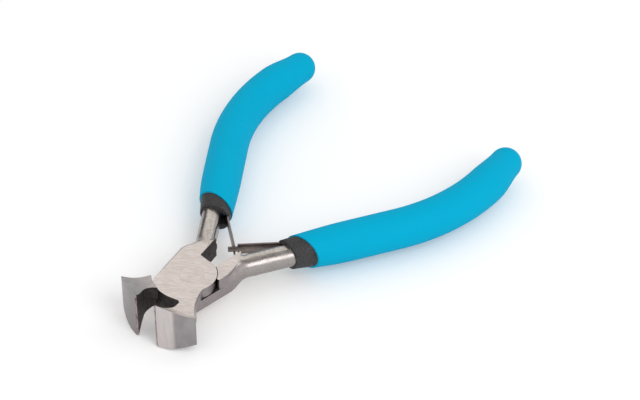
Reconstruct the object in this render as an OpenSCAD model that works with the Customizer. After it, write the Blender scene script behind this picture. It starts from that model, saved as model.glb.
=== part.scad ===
// End cutting nippers: two half-lapped steel levers on one flush rivet, opened by a pair of
// leaf springs, with two-colour moulded grips.
// Millimetres, +Z up. The pivot axis is X = 0, Y = 0, the handles run to +Y, and Z = 0 is the
// lower joint face. Both levers are one half, drawn closed and turned about the pivot: the
// bottom lever is the top one turned over about the Y axis.

/* [Opening] */
// Angle between the two halves as drawn, held open by the springs, in degrees
open_angle = 18; // [4:1:24]

/* [Joint] */
// Thickness of the two lapped plates together
joint_thickness = 6; // [4:0.5:10]
// Distance from the pivot to the handle side of the top plate
joint_side = 7.4; // [6.8:0.1:9]
// Distance from the pivot to the handle side of the bottom plate
bottom_side = 6.45; // [6.4:0.05:8]
// Distance from the pivot to the jaw side of a plate
neck_side = 5.2; // [4.6:0.1:5.8]
// Radius of the round back of a plate, about the pivot
boss_radius = 6.3; // [5.8:0.1:6.6]
// Radius of the front edge of a plate, about the pivot
lap_radius = 9.8; // [9:0.1:10.4]
// Radius of the front corner of a plate on its handle side
lap_corner = 2; // [1:0.1:3]
// Gap between the two plates
lap_gap = 0.06; // [0.02:0.01:0.1]
// Gap round the edge of a plate to the other half's shoulder and jaw
edge_clearance = 0.2; // [0.1:0.05:0.4]

/* [Rivet] */
// Shank radius of the pivot rivet
rivet_radius = 2.2; // [1.6:0.1:3]
// Radius of its flush heads at the joint faces
rivet_head_radius = 3; // [2.6:0.1:4]
// Depth of the countersinks
rivet_head_depth = 0.8; // [0.4:0.1:1.2]
// Running gap round the rivet in the top lever
rivet_clearance = 0.03; // [0.01:0.01:0.1]

/* [Jaws] */
// Distance from the pivot to the cutting edges
edge_reach = 17.6; // [16:0.1:20]
// Height of the jaws at the cutting edge
jaw_height = 13.7; // [10:0.1:18]
// Radius of the curved front face
front_radius = 16.4; // [14:0.1:24]
// Distance from the middle to the outer ear of a jaw
ear_out = 9.9; // [9:0.1:11]
// Distance in front of the pivot where the side starts to flare to the ear
neck_start = 3; // [2:0.1:5]
// Distance in front of the pivot where the jaw starts to rise
flare_start = 10; // [9:0.1:12]
// Rise of a jaw over the other half's joint face
rim_rise = 0.7; // [0.3:0.1:1.2]
// Width of the throat behind the cutting edges when closed
throat_width = 5.5; // [4.4:0.1:6.4]
// Distance from the pivot to the widest part of the throat
throat_reach = 12.4; // [11.6:0.1:13.4]
// Radius of the throat's back corners
throat_corner = 0.9; // [0.4:0.1:1.4]
// Width of the honed strip on the cutting edge
bevel_width = 0.7; // [0.3:0.1:1.2]
// Depth of the honed strip
bevel_depth = 0.3; // [0.1:0.1:0.6]
// Half of the gap left between the closed cutting edges
edge_gap = 0.03; // [0.01:0.01:0.1]

/* [Arms] */
// Distance from the middle to the inner wall of an arm when closed
arm_gap = 1.85; // [1.6:0.05:2.6]
// How far behind the pivot the handle side of the plate ends in a corner
corner_up = 7.2; // [6.4:0.1:8]
// How far behind the pivot the plate is as narrow as the arm
runout_up = 11.4; // [10:0.1:12.4]
// Distance from the middle to the plate's outer side there
runout_out = 5.6; // [5.2:0.1:6.2]
// How far behind the pivot the plate ends on the arm
plate_up = 13.6; // [13:0.1:14.2]
// Distance from the middle to the plate's outer side at its end
plate_out = 4.5; // [4:0.1:5]
// Radius of the scallop that ends the flat pad
pad_radius = 15; // [13:0.5:18]
// Distance from the middle to the outer side of the flat pad
pad_side = 6.4; // [6:0.1:6.9]
// How far behind the pivot the pad is widest
pad_up = 3.9; // [3.4:0.1:4.6]
// How far behind the pivot the shoulder's outer corner lies
shoulder_up = 3.4; // [3:0.1:4]
// How far behind the pivot the boss meets the arm
notch_up = 7.2; // [6.8:0.1:7.8]
// How far behind the pivot the rounded arm begins
arm_up = 5; // [4.4:0.1:6]
// Distance from the middle to the rounded arm's axis there
arm_out = 3; // [2.8:0.1:3.6]
// Radius of the rounded arm there
arm_radius = 3.3; // [3:0.05:3.4]

/* [Handles] */
// Lean of the closed handle away from the middle, in degrees
spread_angle = 22.9; // [16:0.1:28]
// Distance from the middle to the point where the handle starts to bend
bend_out = 20; // [16:0.5:26]
// How far behind the pivot that point lies
bend_up = 51.5; // [44:0.5:60]
// Radius of the bend
bend_radius = 51.5; // [40:0.5:80]
// Turn of the bend, in degrees
bend_turn = 38; // [36:0.5:46]
// Length of the grip's tail past the bend, to the middle of its round end
tail_length = 6.4; // [5:0.1:9]
// How much narrower the grip is at the end of its tail
tail_step = 0.8; // [0.4:0.1:1]
// Turn of the bend that the steel tang follows, in degrees
tang_turn = 34; // [10:1:36]
// How far the straight run of tang and grip reaches into the bend, to join it
bend_overlap = 1; // [0.5:0.1:1.2]
// How much smaller each run of a handle is than the one before it, so that they join cleanly
bend_step = 0.07; // [0.05:0.01:0.1]
// Length of the tang before the bend
tang_reach = 41.4; // [38:0.1:44]
// Height of the tang
tang_height = 5.6; // [4.4:0.1:5.7]
// Distance from the handle's axis to the flat inner side of the tang
tang_inner = 1.85; // [1.5:0.05:1.9]
// Distance from the handle's axis to the rounded outer side of the tang
tang_outer = 3.05; // [2.7:0.05:3.1]
// Radius of that rounded side
tang_round = 2.9; // [2.75:0.05:3.1]

/* [Grips] */
// Radius of the coloured cover
cover_radius = 5.2; // [5.1:0.05:6]
// How far the dark collar stands back from the cover's surface
collar_step = 0.28; // [0.1:0.02:0.36]
// Radius of the dark core under the cover
core_radius = 3.7; // [3.6:0.05:3.8]
// Distance from the bend back to where the grip starts to narrow
taper_reach = 17; // [12:0.5:20]
// How much narrower the grip's nose is where it ends
nose_step = 1.35; // [0.8:0.05:1.5]
// How far the nose has moved to the inner side where it ends
nose_shift = 0.6; // [0:0.05:0.7]
// Distance from the bend back to the front of the cover
cover_reach = 25.4; // [24:0.1:27]
// Slant of the cover's front, in degrees
cover_slant = 30; // [0:1:34]
// Length of the collar in front of the cover
collar_length = 4; // [3:0.1:5]
// Slant of the collar's front, in degrees
collar_slant = 16; // [0:1:20]
// How far the core runs into the collar
collar_lap = 0.6; // [0.3:0.1:0.9]
// Gap between core, cover and tang
grip_fit = 0.03; // [0.01:0.01:0.06]

/* [Springs] */
// Thickness of a leaf
leaf_thickness = 0.5; // [0.3:0.05:0.6]
// Height of a leaf
leaf_height = 3; // [2.4:0.1:3.4]
// How far behind the front of the cover the bent root of a leaf lies
root_inset = 0.6; // [0.3:0.1:1.5]
// Length of the root that lies on the tang
root_length = 2.6; // [2:0.1:3]
// Distance from the pivot to the point where the leaves cross
cross_reach = 16.3; // [15.8:0.1:17]
// Height of the tongue that passes through the other leaf
tongue_height = 1.4; // [1:0.1:1.8]
// Length of the tongue beyond the crossing
tongue_length = 1.6; // [1:0.1:2]
// Distance from the crossing back to the tongue's shoulders
tongue_shoulder = 0.85; // [0.7:0.05:1.2]
// Length of the slotted end beyond the crossing
fork_length = 0.6; // [0.3:0.1:1]
// Length of the slot before the crossing
slot_length = 1.6; // [1.2:0.1:2]
// Gap above and below the tongue in its slot
slot_gap = 0.2; // [0.1:0.05:0.4]
// Gap between a leaf's root and the tang
root_gap = 0.04; // [0.02:0.01:0.1]
// Gap round a leaf inside the grip
pocket_gap = 0.2; // [0.15:0.05:0.3]
// Swing room behind a leaf's root
swing_room = 0.6; // [0.55:0.05:0.65]

/* [Hidden] */
$fn = 96;

steel_colour = [0.78, 0.75, 0.74];
spring_colour = [0.55, 0.52, 0.51];
dark_colour = [0.13, 0.13, 0.13];
blue_colour = [0.0, 0.62, 0.8];

// How far a cutting shape runs past what it cuts
overrun = joint_thickness;
plate_top = joint_thickness / 2;
lap_top = lap_gap / 2;
shoulder_radius = boss_radius + edge_clearance;
jaw_wall_radius = lap_radius + edge_clearance;
half_height = jaw_height / 2;
front_centre = front_radius - edge_reach;
ear_up = front_centre - sqrt(pow(front_radius, 2) - pow(ear_out, 2));
neck_radius = arc_radius(-neck_start - ear_up, ear_out - neck_side);
throat_half = throat_width / 2;
throat_slope = asin(throat_half / (edge_reach - throat_reach));
collar_reach = cover_reach + collar_length;
leaf_root = cover_reach - root_inset;
nose_length = bend_overlap + collar_reach - taper_reach + cover_radius;
nose_lean = atan(nose_shift / nose_length);
leaf_centre = tang_inner + root_gap + leaf_thickness / 2;
handle_way = [-sin(spread_angle), cos(spread_angle)];
inner_way = [cos(spread_angle), sin(spread_angle)];
bend_point = [-bend_out, bend_up];
elbow_point = bend_point - tang_reach * handle_way + (tang_round - tang_outer) * inner_way;
arm_start = [-arm_out, arm_up];
arm_length = norm(elbow_point - arm_start);
arm_lean = asin((arm_start[0] - elbow_point[0]) / arm_length);
root_point = bend_point - leaf_root * handle_way + leaf_centre * inner_way;
cross_point = cross_reach * [sin(open_angle / 2), cos(open_angle / 2)];
leaf_way = cross_point - root_point;
leaf_length = norm(leaf_way);
leaf_turn = atan2(leaf_way[1], leaf_way[0]);

// Radius of an arc that leaves a line and stands rise away from it after run
function arc_radius(run, rise) = (run * run + rise * rise) / (2 * rise);

// Places for the two halves: the closed half turned open, on top or turned over

module as_top() {
    translate([0, 0, plate_top])
        rotate([0, 0, open_angle / 2])
            children();
}

module as_bottom() {
    translate([0, 0, plate_top])
        rotate([0, 180, 0])
            rotate([0, 0, open_angle / 2])
                children();
}

// The handle's own place: the bend at its origin, the joint to -Y, the inner side to +X

module handle_frame() {
    translate(bend_point)
        rotate([0, 0, spread_angle])
            children();
}

module straight_run(length) {
    translate([0, bend_overlap, 0])
        rotate([90, 0, 0])
            linear_extrude(height = bend_overlap + length)
                children();
}

module bend_run(turn) {
    translate([bend_radius, 0, 0])
        rotate([0, 0, 180 - turn])
            rotate_extrude(angle = turn, $fn = 180)
                translate([bend_radius, 0])
                    mirror([1, 0])
                        children();
}

// Everything on the joint side of a slanted plane across the handle
module before_slant(reach, slant) {
    translate([0, -reach, 0])
        rotate([0, 0, -slant])
            translate([-bend_radius, -2 * bend_radius, -bend_radius])
                cube([2 * bend_radius, 2 * bend_radius, 2 * bend_radius]);
}

// Plan of one joint plate without its jaw
module plate_plan(side) {
    circle(r = boss_radius);
    difference() {
        intersection() {
            circle(r = lap_radius);
            translate([-side, -lap_radius])
                square([side + neck_side, lap_radius]);
        }
        lap_corner_plan(side);
    }
    polygon([
        [0, 0],
        [-side, 0],
        [-side, corner_up],
        [-runout_out, runout_up],
        [-plate_out, plate_up],
        [-arm_gap, plate_up],
        [-arm_gap, notch_up],
        [boss_radius * sin(open_angle / 2), boss_radius * cos(open_angle / 2)]
    ]);
}

// What the rounded front corner of a plate takes away
module lap_corner_plan(side) {
    corner_out = side - lap_corner;
    corner_front = -sqrt(pow(lap_radius - lap_corner, 2) - pow(corner_out, 2));
    tangent = lap_radius / (lap_radius - lap_corner);
    difference() {
        polygon([
            [-corner_out, corner_front],
            [-corner_out - lap_radius, corner_front],
            [-corner_out - lap_radius, corner_front - lap_radius],
            [-corner_out * tangent * tangent, corner_front * tangent * tangent]
        ]);
        translate([-corner_out, corner_front])
            circle(r = lap_corner);
    }
}

// The throat: a pear shape from the cutting edge to the plate's front edge
module throat_plan() {
    side_out = throat_half * cos(throat_slope);
    side_up = -throat_reach - throat_half * sin(throat_slope);
    back_up = -lap_radius - throat_corner;
    back_out = throat_half - throat_corner;
    polygon([[0, -edge_reach], [side_out, side_up], [0, -throat_reach], [-side_out, side_up]]);
    translate([0, -throat_reach])
        circle(r = throat_half);
    translate([-throat_half, -throat_reach])
        square([throat_width, throat_reach + back_up]);
    translate([-back_out, -throat_reach])
        square([2 * back_out, throat_reach - lap_radius]);
    for (side = [-1, 1])
        translate([side * back_out, back_up])
            circle(r = throat_corner);
}

// Plan of one jaw, from the cutting edge round the front face to the ear and back to the neck
module jaw_plan() {
    difference() {
        intersection() {
            translate([0, front_centre])
                circle(r = front_radius, $fn = 180);
            translate([edge_gap, -edge_reach - overrun])
                square([front_radius, edge_reach + overrun - neck_start]);
        }
        translate([neck_side + neck_radius, -neck_start])
            circle(r = neck_radius, $fn = 180);
        throat_plan();
        polygon([
            [-overrun, -edge_reach - overrun],
            [bevel_width, -edge_reach - overrun],
            [bevel_width, -edge_reach],
            [0, -edge_reach + bevel_depth],
            [-overrun, -edge_reach + bevel_depth]
        ]);
    }
}

// What a jaw's hollow ramp takes away above a level
module above_ramp(level) {
    ramp_radius = arc_radius(edge_reach - flare_start, half_height - level);
    translate([-front_radius, -flare_start, level + ramp_radius])
        rotate([0, 90, 0])
            cylinder(r = ramp_radius, h = 2 * front_radius, $fn = 180);
    translate([-front_radius, -flare_start, level])
        cube([2 * front_radius, flare_start + overrun, half_height + overrun]);
}

module jaw() {
    difference() {
        translate([0, 0, -half_height])
            linear_extrude(height = jaw_height)
                jaw_plan();
        above_ramp(plate_top);
        mirror([0, 0, 1])
            above_ramp(plate_top + rim_rise);
        under_lap(jaw_wall_radius);
        translate([-throat_half, -throat_reach, -half_height - overrun])
            cube([throat_width, throat_reach, half_height + overrun + lap_top]);
    }
}

// Room under the lap for the other half's plate
module under_lap(radius) {
    translate([0, 0, -half_height - overrun])
        cylinder(r = radius, h = half_height + overrun + lap_top);
}

// The flat pad behind the joint, ended by its scallop
module pad() {
    translate([0, 0, -plate_top])
        linear_extrude(height = joint_thickness)
            intersection() {
                translate([pad_radius - pad_side, pad_up])
                    circle(r = pad_radius, $fn = 180);
                polygon([
                    [-arm_gap, shoulder_up],
                    [-arm_gap, pad_up + pad_radius],
                    [-joint_side, pad_up + pad_radius],
                    [-joint_side, shoulder_up]
                ]);
            }
}

// The rounded arm under the pad, and the elbow where the tang grows out of it
module arm() {
    intersection() {
        translate(arm_start)
            rotate([0, 0, arm_lean])
                rotate([-90, 0, 0])
                    cylinder(r1 = arm_radius, r2 = tang_round, h = arm_length);
        translate([-arm_gap - 2 * joint_side, 0, -plate_top])
            cube([2 * joint_side, arm_up + 2 * arm_length, joint_thickness]);
    }
    intersection() {
        translate(elbow_point)
            sphere(r = tang_round - bend_step);
        translate([-arm_gap - 2 * joint_side, 0, -tang_height / 2])
            cube([2 * joint_side, arm_up + 2 * arm_length, tang_height]);
    }
}

// Section of the tang, flat on its inner side and round on its outer side
module tang_section(fit) {
    intersection() {
        translate([tang_round - tang_outer, 0])
            circle(r = tang_round + fit);
        translate([-tang_outer - fit, -tang_height / 2 - fit])
            square([tang_outer + tang_inner + 2 * fit, tang_height + 2 * fit]);
    }
}

module tang(fit) {
    straight_run(tang_reach)
        tang_section(fit);
    bend_run(tang_turn)
        tang_section(fit - bend_step);
}

module rivet_shape(fit) {
    translate([0, 0, -plate_top])
        cylinder(r = rivet_radius + fit, h = joint_thickness);
    translate([0, 0, plate_top - rivet_head_depth])
        cylinder(r1 = rivet_radius + fit, r2 = rivet_head_radius + fit, h = rivet_head_depth);
    translate([0, 0, -plate_top])
        cylinder(r1 = rivet_head_radius + fit, r2 = rivet_radius + fit, h = rivet_head_depth);
}

// One half, closed, with its plate above the lap, its jaw at +X and its handle at -X
module half(fit, side) {
    difference() {
        union() {
            translate([0, 0, lap_top])
                linear_extrude(height = plate_top - lap_top)
                    plate_plan(side);
            jaw();
            difference() {
                union() {
                    pad();
                    arm();
                    handle_frame()
                        tang(0);
                }
                under_lap(shoulder_radius);
            }
        }
        rivet_shape(fit);
    }
}

// One leaf's root and blade, up to a length from the root
module leaf(length, height) {
    translate([root_point[0], root_point[1], -height / 2])
        rotate([0, 0, leaf_turn])
            translate([0, -leaf_thickness / 2, 0])
                cube([length, leaf_thickness, height]);
}

module leaf_root_bend() {
    translate([root_point[0], root_point[1], -leaf_height / 2]) {
        cylinder(r = leaf_thickness / 2, h = leaf_height);
        rotate([0, 0, spread_angle])
            translate([-leaf_thickness / 2, 0, 0])
                cube([leaf_thickness, root_length, leaf_height]);
    }
}

// Room for a leaf in the grip's core
module leaf_pocket() {
    room = leaf_height + 2 * pocket_gap;
    reach = collar_reach - leaf_root + overrun;
    translate([root_point[0], root_point[1], -room / 2]) {
        rotate([0, 0, leaf_turn])
            translate([0, -leaf_centre - leaf_thickness, 0])
                cube([reach, leaf_centre + 3 * leaf_thickness / 2 + pocket_gap, room]);
        rotate([0, 0, spread_angle])
            translate([-leaf_centre, -root_length / 2, 0])
                cube([leaf_centre + leaf_thickness / 2 + swing_room, 3 * root_length / 2 + pocket_gap, room]);
    }
}

// A round rod from a length before the bend, round it and along the narrowing tail to a round end
module rod(radius, length) {
    end_radius = radius - tail_step;
    straight_run(length)
        circle(r = radius + bend_step);
    bend_run(bend_turn)
        circle(r = radius);
    translate([bend_radius, 0, 0])
        rotate([0, 0, 180 - bend_turn])
            translate([bend_radius, bend_overlap, 0])
                rotate([90, 0, 0]) {
                    cylinder(r1 = radius - bend_step, r2 = end_radius, h = bend_overlap + tail_length);
                    translate([0, 0, bend_overlap + tail_length])
                        sphere(r = end_radius - bend_step);
                }
}

// The narrowing front of the grip
module nose(radius) {
    translate([0, bend_overlap - taper_reach, 0])
        rotate([0, 0, nose_lean])
            rotate([90, 0, 0])
                cylinder(r1 = radius, r2 = radius - nose_step, h = nose_length);
}

module collar() {
    intersection() {
        difference() {
            nose(cover_radius - collar_step);
            before_slant(collar_reach, collar_slant);
        }
        before_slant(cover_reach + grip_fit, cover_slant);
    }
}

module grip_core() {
    difference() {
        handle_frame()
            difference() {
                union() {
                    difference() {
                        rod(core_radius, collar_reach);
                        before_slant(cover_reach + collar_lap, cover_slant);
                    }
                    collar();
                }
                tang(grip_fit);
            }
        leaf_pocket();
    }
}

module grip_cover() {
    handle_frame()
        difference() {
            union() {
                rod(cover_radius, taper_reach);
                nose(cover_radius);
            }
            before_slant(cover_reach, cover_slant);
            rod(core_radius + grip_fit, collar_reach);
        }
}

// The named pieces

module top_lever() {
    color(steel_colour)
        as_top()
            half(rivet_clearance, joint_side);
}

module bottom_lever() {
    color(steel_colour)
        as_bottom()
            half(0, bottom_side);
}

module pivot_rivet() {
    color(steel_colour)
        translate([0, 0, plate_top])
            rivet_shape(0);
}

module slotted_leaf_spring() {
    slot_height = tongue_height + 2 * slot_gap;
    color(spring_colour)
        as_top() {
            leaf_root_bend();
            difference() {
                leaf(leaf_length + fork_length, leaf_height);
                translate([root_point[0], root_point[1], -slot_height / 2])
                    rotate([0, 0, leaf_turn])
                        translate([leaf_length - slot_length, -overrun / 2, 0])
                            cube([slot_length + overrun, overrun, slot_height]);
            }
        }
}

module tongued_leaf_spring() {
    color(spring_colour)
        as_bottom() {
            leaf_root_bend();
            leaf(leaf_length - tongue_shoulder, leaf_height);
            leaf(leaf_length + tongue_length, tongue_height);
        }
}

module top_grip_core() {
    color(dark_colour)
        as_top()
            grip_core();
}

module bottom_grip_core() {
    color(dark_colour)
        as_bottom()
            grip_core();
}

module top_grip_cover() {
    color(blue_colour)
        as_top()
            grip_cover();
}

module bottom_grip_cover() {
    color(blue_colour)
        as_bottom()
            grip_cover();
}

top_lever();
bottom_lever();
pivot_rivet();
slotted_leaf_spring();
tongued_leaf_spring();
top_grip_core();
bottom_grip_core();
top_grip_cover();
bottom_grip_cover();
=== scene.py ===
"""End cutting nippers: two half-lapped steel levers on a flush rivet, crossed leaf springs and two-colour grips."""
from math import asin, cos, pi, radians, sin, sqrt

import bmesh
import bpy
import numpy as np
from mathutils import Matrix, Vector


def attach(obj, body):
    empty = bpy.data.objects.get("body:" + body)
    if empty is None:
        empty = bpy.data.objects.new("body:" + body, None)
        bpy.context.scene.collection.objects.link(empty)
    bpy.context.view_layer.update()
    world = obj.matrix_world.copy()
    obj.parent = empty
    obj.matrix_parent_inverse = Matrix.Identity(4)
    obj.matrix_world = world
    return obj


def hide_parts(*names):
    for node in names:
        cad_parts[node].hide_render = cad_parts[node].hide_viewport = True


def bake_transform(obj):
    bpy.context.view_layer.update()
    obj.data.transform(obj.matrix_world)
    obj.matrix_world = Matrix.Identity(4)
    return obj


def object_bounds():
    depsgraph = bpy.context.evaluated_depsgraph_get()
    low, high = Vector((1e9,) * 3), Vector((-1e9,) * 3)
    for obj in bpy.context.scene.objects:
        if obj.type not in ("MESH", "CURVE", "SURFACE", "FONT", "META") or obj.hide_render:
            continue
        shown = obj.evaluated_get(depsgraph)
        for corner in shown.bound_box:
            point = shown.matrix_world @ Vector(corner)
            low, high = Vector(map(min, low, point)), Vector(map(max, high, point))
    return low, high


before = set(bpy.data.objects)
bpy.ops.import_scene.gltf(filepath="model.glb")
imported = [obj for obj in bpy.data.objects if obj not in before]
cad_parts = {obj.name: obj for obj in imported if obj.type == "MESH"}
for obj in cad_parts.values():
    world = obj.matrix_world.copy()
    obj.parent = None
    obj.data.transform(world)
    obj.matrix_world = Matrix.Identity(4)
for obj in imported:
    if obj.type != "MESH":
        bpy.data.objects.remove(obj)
cad_low, cad_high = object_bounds()

MM = 0.001

# The halves' places, as in the part's source: one closed half, turned open and on top, or turned over
HALF_OPEN = radians(9)
LAP_HEIGHT = 3 * MM
TOP_PLACE = Matrix.Translation((0, 0, LAP_HEIGHT)) @ Matrix.Rotation(HALF_OPEN, 4, "Z")
BOTTOM_PLACE = (Matrix.Translation((0, 0, LAP_HEIGHT)) @ Matrix.Rotation(pi, 4, "Y")
                @ Matrix.Rotation(HALF_OPEN, 4, "Z"))

# The handle's own place in the closed half: the bend at its origin, the joint to -Y, the inner side to +X
HANDLE_PLACE = Matrix.Translation((-20 * MM, 51.5 * MM, 0)) @ Matrix.Rotation(radians(22.9), 4, "Z")
BEND_RADIUS = 51.5 * MM
BEND_TURN = radians(38)
TAIL_LENGTH = 6.4 * MM
TAIL_RADIUS = 4.33 * MM
COVER_RADIUS = 5.19 * MM
NOSE_START = 17 * MM
NOSE_LENGTH = 18.6 * MM
NOSE_EASE = 6 * MM
NOSE_LEAN = 0.6 * MM / NOSE_LENGTH
NOSE_NARROWING = 1.35 * MM / NOSE_LENGTH
COVER_REACH = 25.4 * MM
COVER_SLANT = radians(30)


# Shader building

class Finish:
    """A procedural material under construction: a principled shader fed by patterns in object coordinates."""

    def __init__(self, name, colour, metallic=0.0, roughness=0.5):
        self.material = bpy.data.materials.new(name)
        self.material.use_nodes = True
        self.nodes = self.material.node_tree.nodes
        self.links = self.material.node_tree.links
        self.shader = self.nodes["Principled BSDF"]
        self.shader.inputs["Base Color"].default_value = (*colour, 1)
        self.shader.inputs["Metallic"].default_value = metallic
        self.shader.inputs["Roughness"].default_value = roughness
        self.place = self.nodes.new("ShaderNodeTexCoord").outputs["Object"]

    def grain(self, scale, detail=3.0, roughness=0.6, turn=0.0):
        """Noise with its own scale per axis, in cycles per metre, turned about Z."""
        mapping = self.nodes.new("ShaderNodeMapping")
        mapping.vector_type = "TEXTURE"
        mapping.inputs["Rotation"].default_value = (0, 0, turn)
        mapping.inputs["Scale"].default_value = [1 / s for s in scale]
        self.links.new(self.place, mapping.inputs["Vector"])
        noise = self.nodes.new("ShaderNodeTexNoise")
        noise.inputs["Scale"].default_value = 1
        noise.inputs["Detail"].default_value = detail
        noise.inputs["Roughness"].default_value = roughness
        self.links.new(mapping.outputs["Vector"], noise.inputs["Vector"])
        return noise.outputs["Fac"]

    def closed_half(self, place):
        """X, Y and Z on the closed half that place has turned open."""
        mapping = self.nodes.new("ShaderNodeMapping")
        mapping.vector_type = "TEXTURE"
        mapping.inputs["Location"].default_value = place.translation
        mapping.inputs["Rotation"].default_value = place.to_3x3().to_euler()
        self.links.new(self.place, mapping.inputs["Vector"])
        axes = self.nodes.new("ShaderNodeSeparateXYZ")
        self.links.new(mapping.outputs["Vector"], axes.inputs["Vector"])
        return axes.outputs

    def spread(self, value, low, high, out_low=0.0, out_high=1.0):
        """A value's useful span, stretched to another span."""
        node = self.nodes.new("ShaderNodeMapRange")
        for socket, number in zip(("From Min", "From Max", "To Min", "To Max"), (low, high, out_low, out_high)):
            node.inputs[socket].default_value = number
        self.links.new(value, node.inputs["Value"])
        return node.outputs["Result"]

    def maths(self, operation, *values):
        node = self.nodes.new("ShaderNodeMath")
        node.operation = operation
        for socket, value in zip(node.inputs, values):
            self.links.new(value, socket)
        return node.outputs[0]

    def blend(self, value, first, second):
        """Two colours mixed by a value. A colour may be a socket."""
        node = self.nodes.new("ShaderNodeMix")
        node.data_type = "RGBA"
        self.links.new(value, node.inputs["Factor"])
        for socket, colour in ((node.inputs[6], first), (node.inputs[7], second)):
            if isinstance(colour, bpy.types.NodeSocket):
                self.links.new(colour, socket)
            else:
                socket.default_value = (*colour, 1)
        return node.outputs[2]

    def colour(self, value):
        self.links.new(value, self.shader.inputs["Base Color"])

    def roughness(self, value):
        self.links.new(value, self.shader.inputs["Roughness"])

    def relief(self, height, depth):
        """Bump from a height between 0 and 1, of a depth in metres."""
        bump = self.nodes.new("ShaderNodeBump")
        bump.inputs["Strength"].default_value = 1.0
        bump.inputs["Distance"].default_value = depth
        self.links.new(height, bump.inputs["Height"])
        self.links.new(bump.outputs["Normal"], self.shader.inputs["Normal"])


SCRATCHES_ALONG = 420
SCRATCHES_ACROSS = 4200


def ground_steel(name, light, dark, streak_turn, rough=(0.26, 0.42)):
    """Steel ground on a belt: sparse light and dark scratches on an even tone, over finer streaks."""
    finish = Finish(name, light, metallic=1.0, roughness=rough[0])
    scratches = finish.grain((SCRATCHES_ALONG, SCRATCHES_ACROSS, SCRATCHES_ACROSS / 4), detail=3, turn=streak_turn)
    streaks = finish.grain((SCRATCHES_ALONG, 3 * SCRATCHES_ACROSS, SCRATCHES_ACROSS / 2), detail=3, turn=streak_turn)
    clouds = finish.grain((310, 310, 310), detail=4)
    middle = [(a + b) / 2 for a, b in zip(light, dark)]
    cloudy = finish.blend(finish.spread(clouds, 0.3, 0.7), [(a + b) / 2 for a, b in zip(middle, dark)], middle)
    scored = finish.blend(finish.spread(scratches, 0.24, 0.46, 1, 0), cloudy, dark)
    finish.colour(finish.blend(finish.spread(scratches, 0.5, 0.76), scored, light))
    finish.roughness(finish.spread(streaks, 0.3, 0.7, rough[1], rough[0]))
    finish.relief(streaks, 3e-6)
    return finish.material


def arm_finish(name, place, bare, wall, flat):
    """Forged steel with a pebbled skin. The piece's "wall" attribute makes it darker on the walls, at 1, and black
    in the gap, at 2, which is painted shade. The flats on top and underneath are brighter."""
    finish = Finish(name, bare[0], metallic=1.0, roughness=0.3)
    share = finish.nodes.new("ShaderNodeAttribute")
    share.attribute_name = "wall"
    half = finish.closed_half(place)
    height = finish.maths("ABSOLUTE", half["Z"])
    on_flat = finish.maths("MULTIPLY", finish.spread(height, 2.5 * MM, 2.68 * MM),
                           finish.spread(half["Y"], 9.5 * MM, 11 * MM))
    pebbles = finish.grain((2300, 2300, 2300), detail=2)
    clouds = finish.grain((260, 260, 260), detail=3)
    spots = finish.spread(pebbles, 0.34, 0.66)
    tones = [finish.blend(on_flat, finish.blend(share.outputs["Fac"], bare[i], wall[i]), flat[i]) for i in (0, 1)]
    tone = finish.blend(spots, tones[1], tones[0])
    worn = finish.blend(finish.spread(clouds, 0.35, 0.75, 0, 0.5), tone, tones[0])
    # Painted shade: the colour goes nearly black where "wall" rises from 1 to 2, in the gap behind the boss.
    finish.colour(finish.blend(finish.spread(share.outputs["Fac"], 1, 2), worn, (0.05, 0.042, 0.042)))
    finish.roughness(finish.spread(clouds, 0.3, 0.7, 0.36, 0.24))
    finish.relief(pebbles, 8e-6)
    return finish.material


def jaw_front_painted_reflection(name, place, painted_reflection_tone, beyond):
    """The ground front of a jaw, with a painted reflection: brighter from the cutting edge to a soft line."""
    finish = Finish(name, beyond, metallic=1.0, roughness=0.34)
    beyond_line = finish.spread(finish.closed_half(place)["X"], 4.6 * MM, 5.4 * MM)
    scratches = finish.grain((3200, 3200, 260), detail=3)
    clouds = finish.grain((240, 240, 120), detail=3)
    # Painted reflection: the tone by the cutting edge stands in for light reflected there, fading out past a soft
    # line.
    tone = finish.blend(beyond_line, painted_reflection_tone, beyond)
    worn = finish.blend(finish.spread(scratches, 0.3, 0.7, 0.0, 0.22), tone, (0.16, 0.145, 0.145))
    finish.colour(finish.blend(finish.spread(clouds, 0.4, 0.75, 0, 0.25), worn, painted_reflection_tone))
    finish.roughness(finish.spread(scratches, 0.3, 0.7, 0.42, 0.28))
    finish.relief(scratches, 4e-6)
    return finish.material


SCRATCH_SHADE = 0.72


def jaw_ramp_painted_shade(name, place, front, rear):
    """The hollow ground top of a jaw, with painted shade: darker towards the front, lighter towards the joint."""
    finish = Finish(name, front, metallic=1.0, roughness=0.34)
    towards_joint = finish.spread(finish.closed_half(place)["Y"], -14 * MM, -9 * MM)
    scratches = finish.grain((SCRATCHES_ALONG, SCRATCHES_ACROSS, 1000), detail=3, turn=radians(75))
    # Painted shade: the tone darkens from the joint to the front, where the ramp tilts away from the light.
    tone = finish.blend(towards_joint, front, rear)
    dark = finish.blend(towards_joint, [c * SCRATCH_SHADE for c in front], [c * SCRATCH_SHADE for c in rear])
    finish.colour(finish.blend(finish.spread(scratches, 0.28, 0.68), dark, tone))
    finish.roughness(finish.spread(scratches, 0.3, 0.7, 0.42, 0.3))
    finish.relief(scratches, 3e-6)
    return finish.material


def honed_strip(name, light, dark):
    """The narrow strip along a cutting edge, with the marks of use."""
    finish = Finish(name, light, metallic=1.0, roughness=0.3)
    marks = finish.grain((1500, 1500, 700), detail=4)
    finish.colour(finish.blend(finish.spread(marks, 0.36, 0.56), dark, light))
    finish.roughness(finish.spread(marks, 0.3, 0.7, 0.45, 0.25))
    finish.relief(marks, 1.2e-5)
    return finish.material


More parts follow.
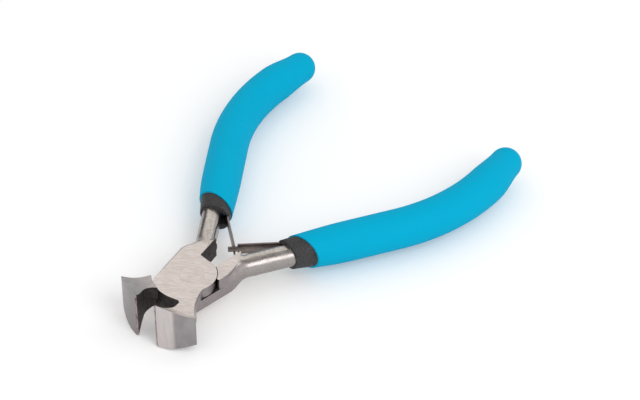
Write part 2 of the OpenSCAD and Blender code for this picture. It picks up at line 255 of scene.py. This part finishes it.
def forged_skin_and_painted_shade(name, light, dark):
    """Dark heat-treated steel where no belt has reached, kept near black as painted shade in the hollows it lines."""
    finish = Finish(name, light, metallic=0.6, roughness=0.55)
    mottle = finish.grain((900, 900, 900), detail=5)
    finish.colour(finish.blend(finish.spread(mottle, 0.3, 0.7), dark, light))
    finish.roughness(finish.spread(mottle, 0.3, 0.7, 0.68, 0.5))
    finish.relief(mottle, 1.5e-5)
    return finish.material


def moulded(name, light, dark, rough, gloss, pits, pit_depth, pit_tone):
    """Matt moulded grip with a fine grain, darker in its pits, and a faint cloudiness."""
    finish = Finish(name, light, roughness=rough[0])
    finish.shader.inputs["Specular IOR Level"].default_value = gloss
    grain = finish.grain((pits, pits, pits), detail=3)
    clouds = finish.grain((120, 120, 120), detail=2)
    broad = finish.blend(finish.spread(clouds, 0.3, 0.7), dark, light)
    finish.colour(finish.blend(finish.spread(grain, 0.36, 0.68, 1, 0), broad, pit_tone))
    finish.roughness(finish.spread(grain, 0.3, 0.7, rough[0], rough[1]))
    finish.relief(grain, pit_depth)
    return finish.material


# The direction of the belt over the joint, and tones from light to dark
BELT_TURN = radians(24.7)
# The ramp's pair is painted shade: the darker front first, the lighter rear second.
RAMP_PAINTED_SHADE_TONES = ((0.37, 0.345, 0.345), (0.54, 0.5, 0.485))
BARE_TONES = ((0.37, 0.34, 0.325), (0.29, 0.265, 0.255))
WALL_TONES = ((0.32, 0.28, 0.288), (0.25, 0.22, 0.226))
FLAT_TONES = ((0.66, 0.61, 0.56), (0.42, 0.38, 0.345))
plate_steel = ground_steel("plate_steel", (0.9, 0.81, 0.755), (0.56, 0.495, 0.465), BELT_TURN)
jaw_ramp_top_painted_shade = jaw_ramp_painted_shade("jaw_ramp_top_painted_shade", TOP_PLACE, *RAMP_PAINTED_SHADE_TONES)
jaw_ramp_bottom_painted_shade = jaw_ramp_painted_shade("jaw_ramp_bottom_painted_shade", BOTTOM_PLACE, *RAMP_PAINTED_SHADE_TONES)
arm_steel_top = arm_finish("arm_steel_top", TOP_PLACE, BARE_TONES, WALL_TONES, FLAT_TONES)
arm_steel_bottom = arm_finish("arm_steel_bottom", BOTTOM_PLACE, BARE_TONES, WALL_TONES, FLAT_TONES)
# Painted reflection on the jaw fronts: a bright band by the top jaw's cutting edge, a faint one on the bottom jaw's.
jaw_front_top_painted_reflection = jaw_front_painted_reflection("jaw_front_top_painted_reflection", TOP_PLACE, (0.6, 0.555, 0.545), (0.29, 0.272, 0.28))
jaw_front_bottom_painted_reflection = jaw_front_painted_reflection("jaw_front_bottom_painted_reflection", BOTTOM_PLACE, (0.27, 0.25, 0.25), (0.24, 0.225, 0.23))
honed_steel = honed_strip("honed_steel", (0.36, 0.29, 0.3), (0.12, 0.075, 0.08))
# Forged skin and painted shade: near black in the throat, the lap and the gaps, where shade falls.
dark_steel_and_painted_shade = forged_skin_and_painted_shade("dark_steel_and_painted_shade", (0.07, 0.058, 0.058), (0.035, 0.029, 0.029))
leaf_steel = ground_steel("leaf_steel", (0.31, 0.265, 0.25), (0.19, 0.16, 0.152), radians(40), (0.26, 0.36))
rivet_steel = ground_steel("rivet_steel", (0.9, 0.815, 0.755), (0.56, 0.5, 0.46), BELT_TURN)
collar_plastic = moulded("collar_plastic", (0.075, 0.074, 0.077), (0.045, 0.044, 0.046), rough=(0.62, 0.5),
                         gloss=0.25, pits=3600, pit_depth=2.5e-5, pit_tone=(0.022, 0.021, 0.022))
cover_plastic = moulded("cover_plastic", (0.0, 0.4, 0.63), (0.0, 0.385, 0.61), rough=(0.75, 0.65), gloss=0.06,
                        pits=3000, pit_depth=6e-6, pit_tone=(0.0, 0.385, 0.605))


# Meshes

def placed(name, data):
    """A new object in the scene, at the origin."""
    piece = bpy.data.objects.new(name, data)
    bpy.context.scene.collection.objects.link(piece)
    return piece


def merged_copy(node, name):
    """A copy of a CAD node's mesh with its loose triangles joined and its flat faces whole."""
    shape = bmesh.new()
    shape.from_mesh(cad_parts[node].data)
    bmesh.ops.remove_doubles(shape, verts=shape.verts, dist=1e-6)
    bmesh.ops.dissolve_limit(shape, angle_limit=radians(0.4), verts=shape.verts, edges=shape.edges,
                             use_dissolve_boundaries=False, delimit=set())
    mesh = bpy.data.meshes.new(name)
    shape.to_mesh(mesh)
    shape.free()
    return placed(name, mesh)


def soften_edges(piece, width, segments=2, limit=20, weigh=None):
    """Small rounds on the sharp edges. weigh may give an edge's middle a share of the width."""
    mesh = piece.data
    mesh.shade_smooth()
    shape = bmesh.new()
    shape.from_mesh(mesh)
    shares = [0.0] * len(shape.edges)
    for edge in shape.edges:
        if len(edge.link_faces) == 2 and edge.calc_face_angle(0) > radians(limit):
            shares[edge.index] = weigh((edge.verts[0].co + edge.verts[1].co) / 2) if weigh else 1.0
    shape.free()
    mesh.attributes.new("bevel_weight_edge", "FLOAT", "EDGE").data.foreach_set("value", shares)
    bevel = piece.modifiers.new("edge_rounds", "BEVEL")
    bevel.width = width
    bevel.segments = segments
    bevel.limit_method = "WEIGHT"


def settle(piece):
    """Makes what the modifiers give the piece's own mesh."""
    seen = piece.evaluated_get(bpy.context.evaluated_depsgraph_get())
    piece.data = bpy.data.meshes.new_from_object(seen)
    piece.modifiers.clear()


def keep_flats(piece, group=""):
    """Shading that is smooth over the rounds and leaves flat faces flat, in a vertex group or all over."""
    flats = piece.modifiers.new("flat_faces", "WEIGHTED_NORMAL")
    flats.mode = "FACE_AREA"
    flats.weight = 100
    flats.keep_sharp = True
    flats.vertex_group = group


def cut_across(shape, faces, axis, at):
    """Cuts faces along the plane that is square to an axis."""
    edges = dict.fromkeys(e for f in faces for e in f.edges)
    corners = dict.fromkeys(v for f in faces for v in f.verts)
    bmesh.ops.bisect_plane(shape, geom=faces + list(edges) + list(corners), dist=1e-8,
                           plane_co=axis * at, plane_no=axis)


ALONG_X, ALONG_Y, ALONG_Z = Vector((1, 0, 0)), Vector((0, 1, 0)), Vector((0, 0, 1))

THROAT_HALF = 2.75 * MM
THROAT_REACH = 12.4 * MM
JAW_WALL_RADIUS = 10 * MM
FLARE_START = 10 * MM
RIM_LEVEL = 3.7 * MM
RAMP_RADIUS = 10.74 * MM
THROAT_STEPS = 12
NEAR = 0.02 * MM


def round_throat(piece, place):
    """Closes the straight back of the throat, on the side where the other half's plate lies, to a round."""
    shape = bmesh.new()
    shape.from_mesh(piece.data)
    shape.transform(place.inverted())
    back_end = -sqrt(JAW_WALL_RADIUS ** 2 - THROAT_HALF ** 2)
    run = back_end + THROAT_REACH
    round_end = (THROAT_HALF ** 2 - JAW_WALL_RADIUS ** 2 - THROAT_REACH ** 2) / (2 * THROAT_REACH)
    full_turn = asin((round_end + THROAT_REACH) / THROAT_HALF)

    def on_wall(spot):
        return abs(spot.x - THROAT_HALF) < NEAR and -THROAT_REACH - 1e-6 < spot.y < back_end + NEAR

    def cut(axis, at):
        faces = [f for f in shape.faces if f.normal.x < -0.98
                 and all(abs(v.co.x - THROAT_HALF) < NEAR for v in f.verts)
                 and max(v.co.y for v in f.verts) > -THROAT_REACH]
        cut_across(shape, faces, axis, at)

    shape.normal_update()
    for level in (NEAR, -0.05 * MM):
        cut(ALONG_Z, level)
    for step in range(THROAT_STEPS + 1):
        cut(ALONG_Y, -THROAT_REACH + run * step / THROAT_STEPS)
    for corner in shape.verts:
        if on_wall(corner.co) and corner.co.z < -0.04 * MM:
            turn = full_turn * (corner.co.y + THROAT_REACH) / run
            on_rim = corner.co.z < -RIM_LEVEL + 0.05 * MM
            corner.co.x = THROAT_HALF * cos(turn)
            corner.co.y = -THROAT_REACH + THROAT_HALF * sin(turn)
            if on_rim:
                ahead = max(-corner.co.y - FLARE_START, 0)
                corner.co.z = -(RIM_LEVEL + RAMP_RADIUS - sqrt(RAMP_RADIUS ** 2 - ahead ** 2))
    shape.transform(place)
    shape.to_mesh(piece.data)
    shape.free()


# Where the finishes of a lever change, on the closed half, in mm
JAW_BACK = -9.6
EDGE_FRONT = -16.5
FRONT_CENTRE = -1.2
FRONT_RADIUS = 16.4
LAP_RADIUS = 9.8
BOSS_RADIUS = 6.3
PLATE_FACE = 2.93
RAMP_TOP = -3.4
TANG_START = 12.5


def steel_regions(piece, place, arm, jaw_front, jaw_ramp):
    """Gives each face of a lever its finish, by its place on the closed half. The first rule that fits counts. The
    dark finish, forged skin and painted shade, goes in the throat, on the lap's shoulders, between the halves, on
    walls facing the pivot and on the arm's inner wall. On the arm, the "wall" attribute tells the bare tang, the
    walls and the gap behind the boss apart, and paints shade in that gap."""
    back = place.inverted()
    mesh = piece.data
    mesh.materials.clear()
    finishes = {"plate": plate_steel, "arm": arm, "ramp": jaw_ramp, "front": jaw_front, "dark": dark_steel_and_painted_shade,
                "honed": honed_steel}
    order = list(finishes)
    wall = [1.0] * len(mesh.vertices)
    for finish in finishes.values():
        mesh.materials.append(finish)
    for face in mesh.polygons:
        x, y, z = (back @ face.center) / MM
        n = back.to_3x3() @ face.normal
        reach = sqrt(x * x + y * y)
        upright = abs(n.z) < 0.35
        towards_pivot = -(n.x * x + n.y * y) / max(reach, 1e-6)
        # Faces given "dark" get forged skin with painted shade: the throat, the lap's shoulders, the faces between
        # the halves, the walls facing the pivot and the arm's inner wall.
        if y < EDGE_FRONT and x < 0.8 and n.y < -0.3 and upright:
            region = "honed"
        elif y < JAW_BACK and upright and abs(sqrt(x * x + (y - FRONT_CENTRE) ** 2) - FRONT_RADIUS) < 0.15:
            region = "front"
        elif y < JAW_BACK and upright and x < 2.95 and n.x < 0.3:
            region = "dark"
        elif n.z < -0.3 and z < RAMP_TOP:
            region = "ramp"
        elif upright and y < 0 and abs(reach - LAP_RADIUS) < 0.2:
            region = "dark"
        elif abs(n.z) > 0.9 and abs(z) > PLATE_FACE:
            region = "plate"
        elif y < JAW_BACK and n.z > 0.3 and z > 2:
            region = "plate"
        elif abs(z) < 0.3 and abs(n.z) > 0.9 and not (x < -4.5 and y > 3.2):
            region = "dark"
        elif upright and towards_pivot > 0.7:
            region = "dark"
        elif n.x > 0.9 and x > -2.0 and y > 4:
            region = "dark"
        elif y > TANG_START or (y > 6 and not upright) or (upright and y > 4 and abs(z) < 0.1):
            region = "arm"
            for corner in face.vertices:
                wall[corner] = 0.0
        else:
            region = "arm"
            # Painted shade: the boss wall facing the gap gets "wall" from 1 to 2, which paints it black.
            if upright and abs(reach - BOSS_RADIUS) < 0.1 and x > 0:
                for corner in face.vertices:
                    wall[corner] = 1 + min(max(((back @ mesh.vertices[corner].co).y / MM + 2) / 2.5, 0), 1)
        face.material_index = order.index(region)
    mesh.attributes.new("wall", "FLOAT", "POINT").data.foreach_set("value", wall)


ARM_SLOT = 1
CELL = 0.35
JUNCTION_START = 4.1 * MM
JUNCTION_END = 21.4 * MM
JUNCTION_CELL = CELL * MM
SHORT_EDGE = 0.1 * MM


def cut_junction(piece, place):
    """Cuts the stretch where plate, pad and arm run into the tang into small cells, and leaves the piece as the
    closed half."""
    shape = bmesh.new()
    shape.from_mesh(piece.data)
    shape.transform(place.inverted())

    def cut(axis, at):
        faces = [f for f in shape.faces if max(v.co.y for v in f.verts) > JUNCTION_START
                 and min(v.co.y for v in f.verts) < JUNCTION_END]
        cut_across(shape, faces, axis, at)

    for step in range(int((JUNCTION_END - JUNCTION_START) / JUNCTION_CELL) + 1):
        cut(ALONG_Y, JUNCTION_START + step * JUNCTION_CELL)
    for step in range(36):
        cut(ALONG_X, (-1.9 - CELL * step) * MM)
    for step in range(-8, 9):
        cut(ALONG_Z, step * CELL * MM)

    def loose(spot):
        x, y, z = spot / MM
        return (-2.9 < z and x < -2 and y < 21.3
                and (y > 9.5 or y > 4.8 and x < -4 and abs(z) < 2.5))

    bmesh.ops.dissolve_degenerate(shape, dist=SHORT_EDGE, edges=[e for e in shape.edges
                                                                 if all(loose(v.co) for v in e.verts)])
    bmesh.ops.triangulate(shape, faces=[f for f in shape.faces if len(f.verts) > 3
                                        and min(v.co.y for v in f.verts) > JUNCTION_START - 1e-6])
    flaps = [f for f in shape.faces if any(len(e.link_faces) == 1 for e in f.edges)]
    bmesh.ops.delete(shape, geom=flaps, context="FACES")
    shape.normal_update()
    for face in shape.faces:
        x, y, z = face.calc_center_median() / MM
        if abs(z) < 0.6 and x < -4.2 and y > 3.2 or z > 2.85 and y > 11.5 and face.normal.z > 0.7:
            face.material_index = ARM_SLOT
    shape.to_mesh(piece.data)
    shape.free()


RELAX_ROUNDS = 350
RELAX_SHARES = (0.6, -0.605)

# Bounds of the relaxed stretch on the closed half, in mm
PAD_LEVEL = -2.95
INNER_SIDE = -1.95
OUTER_SIDE = -4
OUTER_START = 4.4
INNER_START = 9
RELAX_END = 20.8


def ramp(value, width):
    return np.clip(value / width, 0, 1)


def relax_junction(piece, place):
    """Gives the junction's cells the soft rounds of a forging, except on the flat pad and the inner wall, and turns
    the half open again. The wall's finish fades out with them. What stays crisp is kept as a vertex group."""
    mesh = piece.data
    count = len(mesh.vertices)
    spots = np.empty(count * 3)
    mesh.vertices.foreach_get("co", spots)
    spots = spots.reshape(-1, 3)
    pairs = np.empty(len(mesh.edges) * 2, dtype=int)
    mesh.edges.foreach_get("vertices", pairs)
    pairs = pairs.reshape(-1, 2)
    wall = np.empty(count)
    mesh.attributes["wall"].data.foreach_get("value", wall)
    x, y, z = (spots / MM).T
    free = ramp(y - np.where(x < OUTER_SIDE, OUTER_START, INNER_START), 1.2) * ramp(RELAX_END - y, 2.5)
    free *= np.maximum(ramp(y - 8.5, 2.5), ramp(1.8 - abs(z), 0.8))
    level = z < PAD_LEVEL
    held = level | (x > INNER_SIDE)
    pull = 1 / np.maximum(np.linalg.norm(spots[pairs[:, 0]] - spots[pairs[:, 1]], axis=1), 0.06 * MM)
    total = np.bincount(pairs.ravel(), np.repeat(pull, 2), count)

    def mean_of_neighbours(values):
        return (np.bincount(pairs[:, 0], pull * values[pairs[:, 1]], count)
                + np.bincount(pairs[:, 1], pull * values[pairs[:, 0]], count)) / total

    free_up = free
    for _ in range(4):
        free = np.where(held, 0, np.minimum(free, mean_of_neighbours(free)))
        free_up = np.where(level, 0, np.minimum(free_up, mean_of_neighbours(free_up)))
    for _ in range(RELAX_ROUNDS):
        for share in RELAX_SHARES:
            for axis, room in enumerate((free, free, free_up)):
                spots[:, axis] += share * room * (mean_of_neighbours(spots[:, axis]) - spots[:, axis])
        wall += 0.8 * (free > 0) * (mean_of_neighbours(wall) - wall)
    mesh.vertices.foreach_set("co", spots.ravel())
    mesh.attributes["wall"].data.foreach_set("value", wall)
    mesh.transform(place)
    mesh.update()
    crisp = piece.vertex_groups.new(name="crisp")
    crisp.add([int(i) for i in np.flatnonzero(free + free_up == 0)], 1.0, "REPLACE")


def lever(node, name, place, body, arm, jaw_front, jaw_ramp):
    back = place.inverted()

    def edge_share(middle):
        """Fine rounds at the rivet and the cutting edge, none where the cells are relaxed, wide ones on the jaw's
        outer corner."""
        x, y, z = (back @ middle) / MM
        if sqrt(x * x + y * y) < 3.4:
            return 0.08
        if y < -16 and x < 1.2:
            return 0.25
        if z > PAD_LEVEL and x < INNER_SIDE and (y > INNER_START or y > 0.5 and x < OUTER_SIDE):
            return 0.0
        if x > 9.4 and y < -13.5:
            return 2.5
        return 1.0

    piece = merged_copy(node, name)
    round_throat(piece, place)
    steel_regions(piece, place, arm, jaw_front, jaw_ramp)
    soften_edges(piece, 0.14 * MM, weigh=edge_share)
    settle(piece)
    cut_junction(piece, place)
    relax_junction(piece, place)
    piece.data.set_sharp_from_angle(angle=radians(50))
    keep_flats(piece, "crisp")
    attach(piece, body)
    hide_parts(node)


lever("top_lever", "top_lever_forging", TOP_PLACE, "top_half",
      arm_steel_top, jaw_front_top_painted_reflection, jaw_ramp_top_painted_shade)
lever("bottom_lever", "bottom_lever_forging", BOTTOM_PLACE, "bottom_half",
      arm_steel_bottom, jaw_front_bottom_painted_reflection, jaw_ramp_bottom_painted_shade)


# Rivet

def rivet():
    piece = merged_copy("pivot_rivet", "flush_rivet")
    piece.data.materials.clear()
    piece.data.materials.append(rivet_steel)
    soften_edges(piece, 0.012 * MM)
    keep_flats(piece)
    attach(piece, "bottom_half")
    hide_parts("pivot_rivet")


rivet()


# Leaf springs

LEAF_STEPS = 20


def leaf_spring(node, name, root, tip):
    """A leaf cut along its length, between its root and its free end."""
    piece = merged_copy(node, name)
    shape = bmesh.new()
    shape.from_mesh(piece.data)
    along = tip - root
    for step in range(-3, LEAF_STEPS + 4):
        bmesh.ops.bisect_plane(shape, geom=shape.verts[:] + shape.edges[:] + shape.faces[:], dist=1e-7,
                               plane_co=root + along * (step / LEAF_STEPS), plane_no=along.normalized())
    bmesh.ops.bevel(shape, geom=[e for e in shape.edges if e.calc_face_angle(0) > 0.7], offset=0.07 * MM,
                    segments=2, affect="EDGES", profile=0.5, clamp_overlap=True)
    shape.to_mesh(piece.data)
    shape.free()
    piece.data.materials.clear()
    piece.data.materials.append(leaf_steel)
    piece.data.shade_smooth()
    piece.data.set_sharp_from_angle(angle=radians(40))
    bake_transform(piece)
    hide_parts(node)


CROSSING = Vector((0, 16.3 * MM, LAP_HEIGHT))
leaf_spring("slotted_leaf_spring", "slotted_leaf",
            Vector((-12.888, 27.814, 3)) * MM, CROSSING)
leaf_spring("tongued_leaf_spring", "tongued_leaf",
            Vector((12.888, 27.814, 3)) * MM, CROSSING)


# Grip cores, whose fronts show as the dark collars

def grip_core(node, name, body):
    piece = merged_copy(node, name)
    piece.data.materials.clear()
    piece.data.materials.append(collar_plastic)
    soften_edges(piece, 0.2 * MM, segments=3)
    keep_flats(piece)
    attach(piece, body)
    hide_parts(node)


grip_core("top_grip_core", "top_collar", "top_half")
grip_core("bottom_grip_core", "bottom_collar", "bottom_half")


# Grip covers: a round section swept along the handle, cut at a slant in front

class Tree:
    """A geometry node tree under construction."""

    def __init__(self, name):
        self.group = bpy.data.node_groups.new(name, "GeometryNodeTree")
        self.group.interface.new_socket("Path", in_out="INPUT", socket_type="NodeSocketGeometry")
        self.group.interface.new_socket("Grip", in_out="OUTPUT", socket_type="NodeSocketGeometry")
        self.sizes = {}
        self.start = self.group.nodes.new("NodeGroupInput")
        self.end = self.group.nodes.new("NodeGroupOutput")

    def size(self, name, value, kind="NodeSocketFloat"):
        socket = self.group.interface.new_socket(name, in_out="INPUT", socket_type=kind)
        self.sizes[name] = (socket.identifier, value)
        return self.start.outputs[name]

    def node(self, kind, wires=None, **settings):
        node = self.group.nodes.new(kind)
        for key, value in settings.items():
            setattr(node, key, value)
        for socket, value in (wires or {}).items():
            if isinstance(value, bpy.types.NodeSocket):
                self.group.links.new(value, node.inputs[socket])
            else:
                node.inputs[socket].default_value = value
        return node

    def maths(self, operation, *values):
        node = self.node("ShaderNodeMath", dict(enumerate(values)), operation=operation)
        return node.outputs[0]


def grip_cover_tree():
    """Sweeps a circle along the handle's line. The radius narrows in front, along the tail and over the round end.
    Each point of the line carries its place along the handle."""
    tree = Tree("grip_cover")
    radius = tree.size("Cover radius", COVER_RADIUS)
    nose_start = tree.size("Nose start", NOSE_START)
    narrowing = tree.size("Nose narrowing", NOSE_NARROWING)
    tail_start = tree.size("Tail start", BEND_RADIUS * BEND_TURN - 4 * MM)
    tail_end = tree.size("Tail end", BEND_RADIUS * BEND_TURN + TAIL_LENGTH)
    tail_radius = tree.size("Tail radius", TAIL_RADIUS)
    sides = tree.size("Sides", 96, "NodeSocketInt")
    along = tree.node("GeometryNodeInputNamedAttribute", {"Name": "along"}, data_type="FLOAT").outputs["Attribute"]
    ahead = tree.maths("MULTIPLY", along, -1.0)
    nose_run = tree.maths("SMOOTH_MAX", tree.maths("SUBTRACT", ahead, nose_start), 0.0, NOSE_EASE)
    nose = tree.maths("SUBTRACT", radius, tree.maths("MULTIPLY", nose_run, narrowing))
    tail = tree.node("ShaderNodeMapRange", {"Value": along, "From Min": tail_start, "From Max": tail_end,
                                            "To Min": 0.0, "To Max": 1.0}, interpolation_type="SMOOTHSTEP")
    narrow = tree.maths("MULTIPLY", tail.outputs["Result"], tree.maths("SUBTRACT", radius, tail_radius))
    body = tree.maths("SUBTRACT", nose, narrow)
    past = tree.maths("DIVIDE", tree.maths("MAXIMUM", tree.maths("SUBTRACT", along, tail_end), 0.0), tail_radius)
    inside = tree.maths("SUBTRACT", 1.0, tree.maths("MULTIPLY", past, past))
    dome = tree.maths("SQRT", tree.maths("MAXIMUM", inside, 0.0))
    line = tree.node("GeometryNodeMeshToCurve", {"Mesh": tree.start.outputs["Path"]})
    level = tree.node("GeometryNodeSetCurveNormal", {"Curve": line.outputs["Curve"]}, mode="Z_UP")
    sized = tree.node("GeometryNodeSetCurveRadius", {"Curve": level.outputs["Curve"],
                                                     "Radius": tree.maths("MULTIPLY", body, dome)})
    ring = tree.node("GeometryNodeCurvePrimitiveCircle", {"Resolution": sides, "Radius": 1.0}, mode="RADIUS")
    sweep = tree.node("GeometryNodeCurveToMesh", {"Curve": sized.outputs["Curve"],
                                                  "Profile Curve": ring.outputs["Curve"], "Fill Caps": True})
    grown = tree.node("GeometryNodeInputNamedAttribute", {"Name": "radius"}, data_type="FLOAT")
    tree.group.links.new(grown.outputs["Attribute"], sweep.inputs["Scale"])
    whole = tree.node("GeometryNodeMergeByDistance", {"Geometry": sweep.outputs["Mesh"], "Distance": 1e-6})
    real = tree.node("GeometryNodeRealizeInstances", {"Geometry": whole.outputs["Geometry"]})
    dressed = tree.node("GeometryNodeSetMaterial", {"Geometry": real.outputs["Geometry"],
                                                    "Material": cover_plastic})
    tree.group.links.new(dressed.outputs["Geometry"], tree.end.inputs["Grip"])
    return tree


LINE_START = -36 * MM
LINE_STEP = 0.5 * MM
TAIL_STEPS = 12
DOME_STEPS = 24


def handle_line():
    """Points along the handle's axis, each with its distance from the start of the bend."""
    points = []
    bend_length = BEND_RADIUS * BEND_TURN
    steps = [LINE_START + i * LINE_STEP for i in range(int((bend_length - LINE_START) / LINE_STEP))]
    tail_end = bend_length + TAIL_LENGTH
    steps += [bend_length + i * TAIL_LENGTH / TAIL_STEPS for i in range(TAIL_STEPS)]
    steps += [tail_end + TAIL_RADIUS * sin(pi / 2 * i / DOME_STEPS) for i in range(DOME_STEPS + 1)]
    for along in steps:
        if along <= 0:
            run = -along - NOSE_START
            eased = max(NOSE_EASE - abs(run), 0) / NOSE_EASE
            lean = NOSE_LEAN * (max(run, 0) + eased ** 3 * NOSE_EASE / 6)
            points.append((Vector((lean, along, 0)), along))
        elif along < bend_length:
            turn = along / BEND_RADIUS
            points.append((Vector((BEND_RADIUS * (1 - cos(turn)), BEND_RADIUS * sin(turn), 0)), along))
        else:
            tail = along - bend_length
            points.append((Vector((BEND_RADIUS * (1 - cos(BEND_TURN)) + tail * sin(BEND_TURN),
                                   BEND_RADIUS * sin(BEND_TURN) + tail * cos(BEND_TURN), 0)), along))
    return points


def grip_cover(node, name, place, body, tree):
    to_world = place @ HANDLE_PLACE
    points = handle_line()
    path = bpy.data.meshes.new(name + "_path")
    path.from_pydata([to_world @ p for p, _ in points], [(i, i + 1) for i in range(len(points) - 1)], [])
    path.attributes.new("along", "FLOAT", "POINT").data.foreach_set("value", [a for _, a in points])
    piece = placed(name, path)
    sweep = piece.modifiers.new("sweep", "NODES")
    sweep.node_group = tree.group
    for identifier, value in tree.sizes.values():
        sweep[identifier] = value
    seen = piece.evaluated_get(bpy.context.evaluated_depsgraph_get())
    mesh = bpy.data.meshes.new_from_object(seen)
    piece.modifiers.remove(sweep)
    piece.data = mesh
    shape = bmesh.new()
    shape.from_mesh(mesh)
    front = to_world @ Vector((0, -COVER_REACH, 0))
    inside = to_world.to_3x3() @ Vector((sin(COVER_SLANT), cos(COVER_SLANT), 0))
    cut = bmesh.ops.bisect_plane(shape, geom=shape.verts[:] + shape.edges[:] + shape.faces[:], dist=1e-7,
                                 plane_co=front, plane_no=inside, clear_inner=True)
    rim = [e for e in cut["geom_cut"] if isinstance(e, bmesh.types.BMEdge)]
    bmesh.ops.contextual_create(shape, geom=rim)
    bmesh.ops.recalc_face_normals(shape, faces=shape.faces)
    shape.to_mesh(mesh)
    shape.free()
    soften_edges(piece, 0.18 * MM, segments=3, limit=40)
    keep_flats(piece)
    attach(piece, body)
    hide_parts(node)


cover_tree = grip_cover_tree()
grip_cover("top_grip_cover", "top_cover", TOP_PLACE, "top_half", cover_tree)
grip_cover("bottom_grip_cover", "bottom_cover", BOTTOM_PLACE, "bottom_half", cover_tree)


# Floor, light and camera

def seen_directly(nodes, links):
    """1 for what the camera sees, also in metal or through glass, and 0 for the light on other pieces."""
    path = nodes.new("ShaderNodeLightPath").outputs
    share = path["Is Camera Ray"]
    for other in ("Is Glossy Ray", "Is Transmission Ray"):
        larger = nodes.new("ShaderNodeMath")
        larger.operation = "MAXIMUM"
        links.new(share, larger.inputs[0])
        links.new(path[other], larger.inputs[1])
        share = larger.outputs[0]
    return share


FLOOR_HALF = 4
FLOOR_GLOW = 0.1


def floor():
    """Pale paper just under the part, lifted to white for the camera alone."""
    mesh = bpy.data.meshes.new("floor")
    level = cad_low.z - 0.05 * MM
    corners = [(x * FLOOR_HALF, y * FLOOR_HALF, level) for x, y in ((-1, -1), (1, -1), (1, 1), (-1, 1))]
    mesh.from_pydata(corners, [], [(0, 1, 2, 3)])
    piece = placed("floor", mesh)
    paper = Finish("floor_paper", (0.94, 0.94, 0.94), roughness=0.9)
    paper.shader.inputs["Specular IOR Level"].default_value = 0.0
    paper.shader.inputs["Emission Color"].default_value = (1, 1, 1, 1)
    glow = paper.spread(seen_directly(paper.nodes, paper.links), 0, 1, 0, FLOOR_GLOW)
    paper.links.new(glow, paper.shader.inputs["Emission Strength"])
    mesh.materials.append(paper.material)


def soft_box(name, place, target, width, height, power):
    lamp = bpy.data.lights.new(name, "AREA")
    lamp.shape = "RECTANGLE"
    lamp.size = width
    lamp.size_y = height
    lamp.energy = power
    piece = placed(name, lamp)
    piece.location = place
    piece.rotation_euler = (Vector(target) - Vector(place)).to_track_quat("-Z", "Y").to_euler()


def dark_card(name, place, target, width, height):
    """A black card that only shows as a dark line in the metal."""
    mesh = bpy.data.meshes.new(name)
    w, h = width / 2, height / 2
    turn = (Vector(target) - Vector(place)).to_track_quat("-Z", "Y").to_matrix()
    mesh.from_pydata([Vector(place) + turn @ Vector(c) for c in ((-w, -h, 0), (w, -h, 0), (w, h, 0), (-w, h, 0))],
                     [], [(0, 1, 2, 3)])
    piece = placed(name, mesh)
    cloth = Finish("black_card", (0.01, 0.01, 0.01), roughness=1.0)
    mesh.materials.append(cloth.material)
    piece.visible_camera = False
    piece.visible_diffuse = False
    piece.visible_shadow = False
    piece.visible_transmission = False


def surroundings():
    """An even white room that the camera and shiny metal see as white, and a softer fill for the rest."""
    world = bpy.data.worlds.new("studio")
    bpy.context.scene.world = world
    world.use_nodes = True
    nodes, links = world.node_tree.nodes, world.node_tree.links
    plain = nodes["Background"]
    plain.inputs["Color"].default_value = (1, 1, 1, 1)
    plain.inputs["Strength"].default_value = 0.84
    white = nodes.new("ShaderNodeBackground")
    white.inputs["Color"].default_value = (1, 1, 1, 1)
    white.inputs["Strength"].default_value = 1.0
    mix = nodes.new("ShaderNodeMixShader")
    links.new(seen_directly(nodes, links), mix.inputs["Fac"])
    links.new(plain.outputs["Background"], mix.inputs[1])
    links.new(white.outputs["Background"], mix.inputs[2])
    links.new(mix.outputs["Shader"], nodes["World Output"].inputs["Surface"])


CAMERA_PLACE = (0.27432, -0.30085, 0.36732)
CAMERA_AIM = (-0.4723, 0.6067, -0.6394)


def camera():
    """The view fitted to the photograph."""
    lens = bpy.data.cameras.new("camera")
    lens.lens = 123.75
    lens.sensor_width = 36
    lens.clip_start = 0.01
    piece = placed("camera", lens)
    piece.location = CAMERA_PLACE
    piece.rotation_euler = Vector(CAMERA_AIM).to_track_quat("-Z", "Y").to_euler()
    bpy.context.scene.camera = piece


floor()
surroundings()
soft_box("right_box", (0.50, -0.09, 0.48), target=(0.02, 0.02, 0), width=0.3, height=0.5, power=1.4)
dark_card("overhead_card", (0.116, 0.148, 0.58), target=(0.016, 0.022, 0), width=0.9, height=0.17)
dark_card("left_card", (-0.39, 0.148, 0.08), target=(-0.016, 0.022, 0.05), width=0.5, height=0.17)
camera()
bpy.context.scene.view_settings.view_transform = "Standard"
